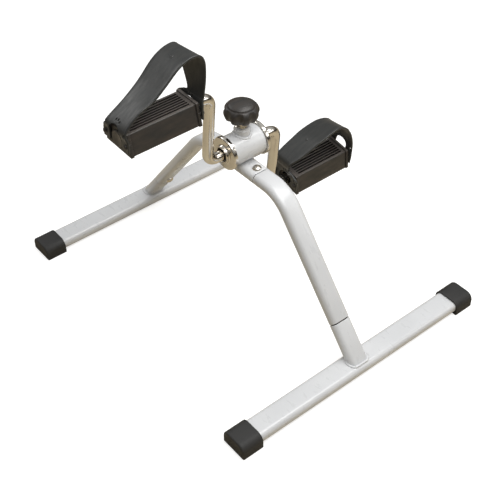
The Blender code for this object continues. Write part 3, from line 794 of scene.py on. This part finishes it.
def recessed_head(name, shank):
    """A domed screw head with a cross recess, seat at z = 0, on a plain shank of this length."""
    quarter = arc((0, 0), 1, pi / 2, 0, 10)
    dome = [(BOLT_HEAD_R * x, BOLT_HEAD_H * (0.12 + 0.88 * y)) for x, y in quarter]
    profile = dome + [(BOLT_HEAD_R, 0), (BOLT_R, 0), (BOLT_R, -shank), (0, -shank)]
    solid = turned(name, profile, 40)
    cutters = []
    for i in range(2):
        blade = prism("blade", [[(-2.6 * MM, 5 * MM), (-1.1 * MM, 1.4 * MM), (1.1 * MM, 1.4 * MM),
                                 (2.6 * MM, 5 * MM)]], 1.1 * MM)
        stand = Matrix.Rotation(pi / 4 + pi / 2 * i, 4, "Z") @ Matrix.Rotation(pi / 2, 4, "X")
        cutters.append((blade, stand))
    return carved(solid, cutters)


def leg_bolt(word, side):
    name = f"{word}_bolt_head"
    place = Matrix.Translation((0, side * LEG_BOLT_Y, TUBE_Z + TUBE_THICK / 2))
    piece(name, recessed_head(name, LEG_BOLT_SHANK), "frame", "chrome", [f"{word}_leg_bolt"], place,
          HEAD_SHARP)


def foot_screw(word, side):
    base, up, out = slope_axis(side)
    name = f"{word}_screw_head"
    place = Matrix.Translation(base + up * (STUB_LENGTH + FOOT_SCREW_UP) + out * TUBE_THICK / 2)
    turn = out.to_track_quat("Z", "X").to_matrix().to_4x4()
    piece(name, recessed_head(name, FOOT_SCREW_SHANK), "frame", "chrome", [f"{word}_foot_screw"],
          place @ turn, HEAD_SHARP)


# ---- hub ----

def hub_place(side=1):
    return Matrix.Translation((0, 0, HUB_Z)) @ Matrix.Rotation(side * pi / 2, 4, "Y")


def hub_shell():
    """The hub's tube with the screw's port at its top, its weld and the boss's weld."""
    inner = HUB_R - HUB_WALL
    profile = [(HUB_R, HUB_HALF), (HUB_R, -HUB_HALF), (inner, -HUB_HALF), (inner, HUB_HALF)]
    tube = turned("hub_skin", softened(profile, 0.7 * MM), 128, closed=True)
    port = turned("port", [(0, -HUB_R), (BOSS_BORE_R, -HUB_R), (BOSS_BORE_R, HUB_R), (0, HUB_R)], 48)
    tube = carved(tube, [(port, Matrix.Rotation(-pi / 2, 4, "Y") @ Matrix.Translation((0, 0, HUB_R)))])
    piece("hub_skin", tube, "frame", "white_paint", ["hub_shell"], hub_place())
    top = TUBE_Z + TUBE_THICK / 2
    outline = rounded_box(HUB_SEAT_X, HUB_SEAT_Y, 3 * MM, 3 * MM, -HUB_SEAT_Y / 2)
    toe = resampled([Vector((x, y, top + WELD_TOE)) for x, y in outline], 160)
    piece("hub_weld", bead("hub_weld", toe, WELD_R, WELD_RIPPLE, 20), "frame", "white_paint")
    saddle = []
    reach = BOSS_R + WELD_TOE
    for i in range(120):
        angle = 2 * pi * i / 120
        y = reach * sin(angle)
        saddle.append(Vector((reach * cos(angle), y, HUB_Z + sqrt(HUB_R ** 2 - y ** 2))))
    piece("boss_weld", bead("boss_weld", saddle, 1.7 * MM, 0.2, 16), "frame", "white_paint")


def hub_cup(hand, side):
    """A plated end cup with a rolled rim, a hollowed face and a raised collar."""
    flange = HUB_HALF + GAP
    spigot_r = HUB_R - HUB_WALL - GAP
    round_r = 2.5 * MM
    rim = arc((CUP_R - round_r, CUP_END - round_r), round_r, 0, pi / 2, 10)
    profile = [(spigot_r, CUP_SPIGOT_IN), (spigot_r, flange), (CUP_R - 0.4 * MM, flange),
               (CUP_R, flange + 0.4 * MM)]
    profile += rim
    profile += arc((COLLAR_R + 1.6 * MM, CUP_END + 1.6 * MM), 1.6 * MM, -pi / 2, -pi, 6)
    profile += arc((COLLAR_R - 0.9 * MM, COLLAR_END - 0.9 * MM), 0.9 * MM, 0, pi / 2, 5)
    profile += arc((CUP_BORE_R + 0.8 * MM, COLLAR_END - 0.8 * MM), 0.8 * MM, pi / 2, pi, 4)
    profile += [(CUP_BORE_R, CUP_SPIGOT_IN)]
    name = f"{hand}_cup_skin"
    piece(name, turned(name, profile, 128, closed=True), "frame", "chrome", [f"{hand}_hub_cup"],
          hub_place(side))


def tension_boss():
    """The stepped collar welded on the hub."""
    foot = HUB_Z + HUB_R - 3.2 * MM
    step = BOSS_TOP - 3.4 * MM
    profile = [(BOSS_R, foot), (BOSS_R, step), (BOSS_R - 1.1 * MM, step + 0.9 * MM),
               (BOSS_R - 1.1 * MM, BOSS_TOP), (BOSS_BORE_R, BOSS_TOP), (BOSS_BORE_R, foot)]
    piece("boss_skin", turned("boss_skin", softened(profile, 0.6 * MM), 96, closed=True), "frame",
          "white_paint", ["tension_boss"])


def tension_neck():
    """The plated neck, its thread showing as fine grooves."""
    bottom = BOSS_TOP + GAP
    inner = SCREW_R + GAP
    profile = [(inner, bottom), (NECK_R - 0.5 * MM, bottom)]
    turns = int((NECK_TOP - bottom) / THREAD_PITCH)
    for i in range(turns):
        low = bottom + i * THREAD_PITCH
        profile += [(NECK_R - 0.5 * MM, low + 0.15 * MM), (NECK_R, low + 0.5 * MM),
                    (NECK_R, low + 0.8 * MM), (NECK_R - 0.5 * MM, low + 1.15 * MM)]
    profile += [(NECK_R - 1 * MM, NECK_TOP), (inner, NECK_TOP)]
    piece("neck_skin", turned("neck_skin", profile, 72, closed=True), "frame", "chrome", ["tension_nut"])


# ---- resistance knob ----

def scalloped(r, z, angle):
    """The knob's radius, hollowed between its lobes and fading out towards the shoulder."""
    if r <= KNOB_SKIRT_R:
        return r
    fade = min(max((KNOB_SHOULDER_Z - z) / SCALLOP_FADE, 0), 1)
    offset = (angle * KNOB_LOBES / (2 * pi) + 0.5) % 1 - 0.5
    hollow = max(0, 1 - (offset / SCALLOP_HALF) ** 2) ** 1.4
    return r - SCALLOP_DEPTH * fade * hollow


def tension_knob():
    """A knob with a ringed dome and a skirt of scalloped lobes, hollow underneath."""
    outline = [(0, 293.3), (4, 293.2), (8, 292.8), (11.5, 292), (14.3, 290.9), (16.1, 289.8), (16.7, 289.1),
               (16.9, 288.3), (17.2, 287.9), (17.8, 287.9), (18.4, 288.1), (19.1, 287.7), (20.4, 286.2),
               (21.6, 284.3), (22.4, 282.4), (22.8, 280.5), (22.7, 278.6), (22.2, 276.2), (21.2, 273.4),
               (20.3, 271.5), (19.6, 270.6), (18.8, 270.2), (17.6, 270.2), (17, 270.8), (16.8, 273.6),
               (16, 274.2), (9.5, 274.2), (9, 273.6), (8.8, 271.1), (8.2, 270.6), (4.9, 270.6),
               (4.4, 271.1), (4.3, 274)]
    profile = [(r * MM, z * MM) for r, z in outline]
    mesh = turned("knob_skin", profile, KNOB_LOBES * 24, reach=scalloped)
    piece("knob_skin", mesh, "knob", "black_plastic", ["tension_knob"], sharp=radians(50))


# ---- crank ----

def crank_place():
    return Matrix.Translation((0, 0, HUB_Z)) @ Matrix.Rotation(CRANK_LEAN, 4, "X")


def crank_route():
    """Centreline points and directions of the bent rod in its own XZ plane."""
    corners = [Vector(p) for p in ((-SPINDLE_END, CRANK_LENGTH), (-ARM_X, CRANK_LENGTH), (-ARM_X, 0),
                                   (ARM_X, 0), (ARM_X, -CRANK_LENGTH), (SPINDLE_END, -CRANK_LENGTH))]
    route = [(corners[0], (corners[1] - corners[0]).normalized())]
    for before, corner, after in zip(corners, corners[1:], corners[2:]):
        back = (before - corner).normalized()
        ahead = (after - corner).normalized()
        centre = corner + (back + ahead) * CRANK_BEND_R
        for i in range(17):
            angle = pi / 2 * i / 16
            spot = centre - ahead * CRANK_BEND_R * cos(angle) - back * CRANK_BEND_R * sin(angle)
            route.append((spot, (ahead * sin(angle) - back * cos(angle)).normalized()))
    route.append((corners[-1], route[-1][1]))
    return route


def crankshaft():
    """The bent rod as one skin, with its two ends eased."""
    rings = []
    route = crank_route()
    ease = 1 * MM
    for k, (spot, along) in enumerate(route):
        across = Vector((along.y, -along.x))
        shapes = [(0, ROD_R)]
        if k == 0:
            shapes = [(0, ROD_R - ease), (0.3 * ease, ROD_R - 0.3 * ease), (ease, ROD_R)]
        if k == len(route) - 1:
            shapes = [(-ease, ROD_R), (-0.3 * ease, ROD_R - 0.3 * ease), (0, ROD_R - ease)]
        for shift, radius in shapes:
            middle = spot + along * shift
            ring = []
            for i in range(48):
                angle = 2 * pi * i / 48
                point = middle + across * radius * cos(angle)
                ring.append(Vector((point.x, radius * sin(angle), point.y)))
            rings.append(ring)
    piece("crank_skin", loft("crank_skin", rings), "crank", "chrome", ["crankshaft"], crank_place())


# ---- pedals ----

# Turns an outline drawn in XY, with its depth along Z, into the pedal's YZ plane
LOCAL_TO_YZ = Matrix(((0, 0, 1, 0), (1, 0, 0, 0), (0, 1, 0, 0), (0, 0, 0, 1)))


def pedal_place(side):
    """Origin on the spindle at the pedal's middle, local X along the spindle."""
    spindle = crank_place() @ Matrix.Translation((side * PEDAL_MID, 0, -side * CRANK_LENGTH))
    return Matrix.Translation(spindle.translation) @ Matrix.Rotation(TILTS[side], 4, "X")


def trapezoid(grow=0.0):
    """The section of the pedal, narrower at the tread than below."""
    half = TREAD_HEIGHT / 2 + grow
    wide_top = TREAD_TOP / 2 + grow
    wide_bottom = TREAD_BOTTOM / 2 + grow
    return [(-wide_bottom, -half), (wide_bottom, -half), (wide_top, half), (-wide_top, half)]


def tread_channel(name):
    """The pedal's slotted top and its two sloping sides, as one wall with eased slots."""
    half = TREAD_HEIGHT / 2
    edges = []
    for i in range(SLOTS):
        middle = (i - (SLOTS - 1) / 2) * SLOT_PITCH
        edges += [middle - SLOT_WIDTH / 2, middle + SLOT_WIDTH / 2]
    bottom, top = -TREAD_BOTTOM / 2, -TREAD_TOP / 2
    shoulder = softened([(bottom, -half), (top, half), (0, half)], 1.6 * MM, 5, closed=False)[:-1]
    side = [(bottom + (top - bottom) * t, -half + TREAD_HEIGHT * t) for t in (0, 0.3, 0.6)]
    flank = side + shoulder[1:]
    section = flank + [(y, half) for y in edges] + [(-y, z) for y, z in reversed(flank)]
    first = len(flank)
    length = PEDAL_HALF - PLATE_THICK
    lines = [-length, -SLOT_LENGTH / 2, -SLOT_LENGTH / 6, SLOT_LENGTH / 6, SLOT_LENGTH / 2, length]
    shell = bmesh.new()
    grid = [[shell.verts.new((x, y, z)) for y, z in section] for x in lines]
    for i in range(len(lines) - 1):
        for j in range(len(section) - 1):
            in_slot = first <= j < first + len(edges) and (j - first) % 2 == 0
            if in_slot and 0 < i < len(lines) - 2:
                continue
            shell.faces.new((grid[i][j], grid[i + 1][j], grid[i + 1][j + 1], grid[i][j + 1]))
    bmesh.ops.recalc_face_normals(shell, faces=shell.faces)
    if sum(face.normal.z * face.calc_area() for face in shell.faces) < 0:
        bmesh.ops.reverse_faces(shell, faces=shell.faces)
    mesh = bpy.data.meshes.new(name)
    shell.to_mesh(mesh)
    shell.free()
    obj = linked(name, mesh)
    wall = obj.modifiers.new("wall", "SOLIDIFY")
    wall.thickness = TREAD_WALL
    wall.offset = -1
    ease = obj.modifiers.new("ease", "BEVEL")
    ease.width = 0.25 * MM
    ease.segments = 2
    ease.limit_method = "ANGLE"
    ease.angle_limit = radians(40)
    return evaluated(obj, name)


def circle(radius, steps=64):
    return arc((0, 0), radius, 0, 2 * pi * (steps - 1) / steps, steps - 1)


def end_plate(name):
    """A plate with eased corners and a bore."""
    outline = softened(trapezoid(PLATE_LIP), 1.8 * MM, 5)
    return prism(name, [outline, circle(BARREL_BORE)], PLATE_THICK, 0.5 * MM)


def peg():
    """A peg with a mushroom head that holds the strap."""
    reach = PLATE_THICK + PEG_REACH
    head = PEG_R + 0.9 * MM
    profile = [(0, 1 * MM), (PEG_R, 1 * MM), (PEG_R, reach - 2 * MM), (head, reach - 1.6 * MM),
               (head, reach - 1 * MM), (PEG_R * 0.9, reach - 0.2 * MM), (0, reach)]
    return turned("peg", profile, 28)


def pedal_body(hand, side):
    """The core of barrel and ribs, near black as painted shade, then the tread, the end plates and the
    pegs.
    """
    place = pedal_place(side)
    parts = [(tread_channel("tread"), Matrix.Identity(4))]
    half = PEDAL_HALF - PLATE_THICK
    rib_outline = softened(trapezoid(0.3 * MM - TREAD_WALL), 1 * MM, 3)
    rib = prism("rib", [rib_outline, circle(BARREL_R - 0.2 * MM)], 1.6 * MM, 0.2 * MM)
    barrel = [(BARREL_R, half), (BARREL_R, -half), (BARREL_BORE, -half), (BARREL_BORE, half)]
    core = [(turned("barrel", barrel, 64, closed=True), Matrix.Rotation(pi / 2, 4, "Y"))]
    for share in (-0.66, -0.22, 0.22, 0.66):
        core.append((rib, Matrix.Translation((share * half, 0, -0.6 * MM)) @ LOCAL_TO_YZ))
    body = f"{hand}_pedal"
    name = f"{hand}_pedal_core"
    # painted shade: the core's near-black finish stands for the shade inside the pedal, seen through the
    # slots
    piece(name, joined(name, core), body, "black_plastic", (), place, finish="painted_shade_plastic")
    plate = end_plate("plate")
    stud = peg()
    for end in (-1, 1):
        middle = Matrix.Translation((end * (PEDAL_HALF - PLATE_THICK / 2), 0, 0))
        parts.append((plate, middle @ LOCAL_TO_YZ))
        for across in (-1, 1):
            spot = Matrix.Translation((end * half, across * PEG_Y, PEG_Z))
            parts.append((stud, spot @ Matrix.Rotation(end * pi / 2, 4, "Y")))
    name = f"{hand}_pedal_skin"
    piece(name, joined(name, parts), body, "black_plastic", [f"{hand}_pedal_body"], place,
          finish="tread_plastic")


def pedal_cap(hand, side):
    """The round cap over the spindle's end, with a shallow dished face."""
    outer = BARREL_BORE - GAP
    rim = CAP_FLANGE_R
    profile = [(0, 1.1 * MM), (rim * 0.6, 1.15 * MM), (rim * 0.74, 1.6 * MM),
               (rim - 0.9 * MM, CAP_FLANGE), (rim - 0.3 * MM, 1.45 * MM), (rim, 0.8 * MM), (rim, GAP),
               (outer, GAP), (outer, -5 * MM), (outer - 1.2 * MM, -5 * MM),
               (outer - 1.2 * MM, -1.2 * MM), (0, -1.2 * MM)]
    outward = Matrix.Translation((side * PEDAL_HALF, 0, 0)) @ Matrix.Rotation(side * pi / 2, 4, "Y")
    name = f"{hand}_cap_disc"
    piece(name, turned(name, profile, 64), f"{hand}_pedal", "black_plastic", [f"{hand}_pedal_cap"],
          pedal_place(side) @ outward, finish="worn_plastic")


# ---- straps ----

def strap_edges(side):
    """The band's near and far edges as (x, z, half width) in mm, from the -X plate to the +X one."""
    if side < 0:
        near = ((-50, 18, 21), (-33, 34, 21), (-12, 42.5, 21), (5, 55, 21), (22, 69, 21),
                (36, 75.5, 21), (50, 75, 21), (57.5, 65, 21), (58, 44, 21), (55, 22, 21),
                (52.5, 16, 22), (51, 11, 24))
        far = ((-50, 17, 18.5), (-25, 31, 19.5), (-4, 46, 20.5), (15, 64, 21), (27, 71.5, 21),
               (37, 74.5, 21), (46, 74, 21), (51, 67, 20), (53, 44, 15), (52.5, 22, 7),
               (51.8, 16, 15), (51, 11, 23.5))
    else:
        near = ((-51, 11, 23.5), (-51.4, 15.5, 16), (-51.8, 20, 7), (-54, 27, 8), (-53, 34, 10),
                (-43.4, 43, 15), (-25, 56.5, 19), (-12.5, 65, 21), (6.4, 71.5, 21), (18, 72.5, 21),
                (30, 66.5, 21), (39, 56, 21), (46.5, 42, 21), (52, 24, 21))
        far = ((-51, 10, 24), (-51.4, 14, 22), (-51.8, 18, 21), (-54, 25, 21), (-52, 32, 21),
               (-43, 38.5, 21), (-29, 46, 21), (-14.5, 53, 21), (3, 57, 21), (17, 57.2, 21),
               (31, 53, 21), (40, 46.5, 21), (47, 36, 21), (51.5, 22, 21))
    start = ((-STRAP_FACE, STRAP_TAIL, STRAP_TAIL_HALF), (-STRAP_FACE, 6, STRAP_TAIL_HALF))
    end = ((STRAP_FACE, 6, STRAP_TAIL_HALF), (STRAP_FACE, STRAP_TAIL, STRAP_TAIL_HALF))
    return [(*start, *edge, *end) for edge in (near, far)]


def smooth_through(stations, steps):
    """Points on a Catmull-Rom spline through the stations, each a tuple of equal length."""
    line = [Vector(station) for station in (stations[0], *stations, stations[-1])]
    found = []
    for p0, p1, p2, p3 in zip(line, line[1:], line[2:], line[3:]):
        for i in range(steps):
            t = i / steps
            found.append(0.5 * (2 * p1 + (p2 - p0) * t + (2 * p0 - 5 * p1 + 4 * p2 - p3) * t ** 2
                                + (3 * p1 - p0 - 3 * p2 + p3) * t ** 3))
    found.append(line[-1])
    return found


def strap_rows(side):
    """Each row's near and far ends in mm, with its across, outward and along directions."""
    stations = [near + far for near, far in zip(*strap_edges(side))]
    rows = []
    for x_near, z_near, near_half, x_far, z_far, far_half in smooth_through(stations, SPLINE_STEPS):
        rows.append((Vector((x_near, -near_half, z_near)), Vector((x_far, far_half, z_far))))
    found = []
    for i, (a, b) in enumerate(rows):
        before, after = rows[max(i - 1, 0)], rows[min(i + 1, len(rows) - 1)]
        along = ((after[0] + after[1]) - (before[0] + before[1])).normalized()
        across = (b - a).normalized()
        found.append((a, b, across, along.cross(across).normalized(), along))
    return found


def strap_skin(name, side):
    """The band, lofted row by row, with its two ends thinned to an eased edge."""
    rows = strap_rows(side)
    rings = []
    last = len(rows) - 1
    for i, (a, b, across, out, along) in enumerate(rows):
        steps = [(1.0, 0.0)]
        if i == 0:
            steps = [(0.45, 0.0), (0.85, 0.5)]
        if i == last:
            steps = [(0.85, -0.5), (0.45, 0.0)]
        for share, shift in steps:
            slide = along * shift
            ring = []
            for edge, height in RIM:
                ring.append(a + across * edge + out * height * share + slide)
            for edge, height in reversed(RIM):
                ring.append(b - across * edge + out * height * share + slide)
            for edge, height in RIM[1:]:
                ring.append(b - across * edge - out * min(height, STRAP_HALF_THICK) * share + slide)
            for edge, height in reversed(RIM[1:]):
                ring.append(a + across * edge - out * min(height, STRAP_HALF_THICK) * share + slide)
            rings.append([p * MM for p in ring])
    return loft(name, rings)


def oblong(half_width, low, high, centre=0.0, steps=24):
    """An upright slot outline with round ends, its ends' tips at low and high, in mm."""
    top = arc((centre, high - half_width), half_width, 0, pi, steps)
    foot = arc((centre, low + half_width), half_width, pi, 2 * pi, steps)
    return [(y * MM, z * MM) for y, z in top + foot]


def strap_cutters(side, end):
    """The cut-out round the spindle's boss, the peg holes and the adjusting holes of one tail.

    The outer tail's cut-out is taller, and its adjusting holes lie past the fold.
    """
    outer = side == end
    if not outer:
        cutout, oval_low, hole_low, half_width = oblong(12, -30, 12.8), 8.2, 14.6, 1.25
    elif side > 0:
        cutout, oval_low, hole_low, half_width = oblong(10.4, -30, 24.5), 14.5, 27.5, 1.25
    else:
        cutout, oval_low, hole_low, half_width = oblong(12, -30, 19.5), 11.5, 21, 1.6
    outlines = [cutout]
    for across in (-1, 1):
        outlines.append(oblong(2.7, -1.7, 3.7, across * PEG_Y / MM))
        outlines.append(oblong(half_width, oval_low, oval_low + 3.4 * half_width, across * 18.6))
    for i in range(3):
        low = hole_low - abs(i - 1) * 0.6
        outlines.append(oblong(1.0, low, low + 3.2, (i - 1) * 3.8))
    place = Matrix.Translation((end * 50 * MM, 0, 0)) @ LOCAL_TO_YZ
    return [(prism(f"hole_{k}", [outline], 25 * MM), place) for k, outline in enumerate(outlines)]


def strap(hand, side):
    """The band and the small moulded dot on its crown."""
    name = f"{hand}_strap_skin"
    body = f"{hand}_pedal"
    mesh = carved(strap_skin(name, side), strap_cutters(side, -1) + strap_cutters(side, 1))
    piece(name, mesh, body, "strap_rubber", [f"{hand}_foot_strap"], pedal_place(side))
    rows = strap_rows(side)
    a, b, across, out, along = rows[int(len(rows) * (0.42 if side < 0 else 0.5))]
    face = -out if along.cross(across).dot(out) < 0 else out
    turn = Matrix((along, across, face)).transposed().to_4x4()
    profile = [(0, 0.55 * MM), (0.9 * MM, 0.5 * MM), (1.4 * MM, 0.2 * MM), (1.7 * MM, 0.25 * MM),
               (2.3 * MM, 0.3 * MM), (2.6 * MM, -0.2 * MM), (0, -0.2 * MM)]
    spot = Matrix.Translation(((a + b) / 2 + out * STRAP_HALF_THICK) * MM)
    name = f"{hand}_strap_dot"
    piece(name, turned(name, profile, 32), body, "strap_rubber", (), pedal_place(side) @ spot @ turn)


# ---- the whole ----

def dress_kept_nodes():
    """The CAD nodes that stay take the same finishes, by their material's slot."""
    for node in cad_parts.values():
        if node.hide_render:
            continue
        for slot in node.material_slots:
            base = slot.material.name.split(".")[0]
            slot.material = FINISHES[base]


make_camera()
FINISHES = {
    "white_paint": white_paint(),
    "chrome": chrome(),
    "zinc_steel": zinc_steel(),
    "black_plastic": black_plastic(),
    # near-black plastic: painted shade for the pedal's inside
    "painted_shade_plastic": black_plastic("painted_shade_inner_plastic", (0.0015, 0.0014, 0.0013),
                                    (0.003, 0.0026, 0.0022)),
    # the tread's up-facing tops carry a painted highlight tone
    "tread_plastic": black_plastic("tread_plastic", worn=(0.095, 0.083, 0.074)),
    "worn_plastic": black_plastic("worn_plastic", (0.052, 0.046, 0.040), (0.075, 0.066, 0.057)),
    "black_rubber": black_rubber(),
    "strap_rubber": strap_rubber(),
    "nylon": nylon(),
    # near-black steel tone: painted shade in the seams between tubes
    "painted_shade_steel": zinc_steel("painted_shade_steel", (0.035, 0.034, 0.032), (0.06, 0.058, 0.054)),
}
make_world()
make_stage()
for word, side in (("front", -1), ("rear", 1)):
    foot_bar(word, side)
    foot_stub(word, side)
    leg(word, side)
    leg_bolt(word, side)
    foot_screw(word, side)
    for hand, end in (("left", -1), ("right", 1)):
        foot_cap(word, hand, end, side)
centre_tube()
hub_shell()
tension_boss()
tension_neck()
tension_knob()
crankshaft()
for hand, side in (("left", -1), ("right", 1)):
    hub_cup(hand, side)
    pedal_body(hand, side)
    pedal_cap(hand, side)
    strap(hand, side)
dress_kept_nodes()

bpy.context.scene.view_settings.view_transform = "Standard"
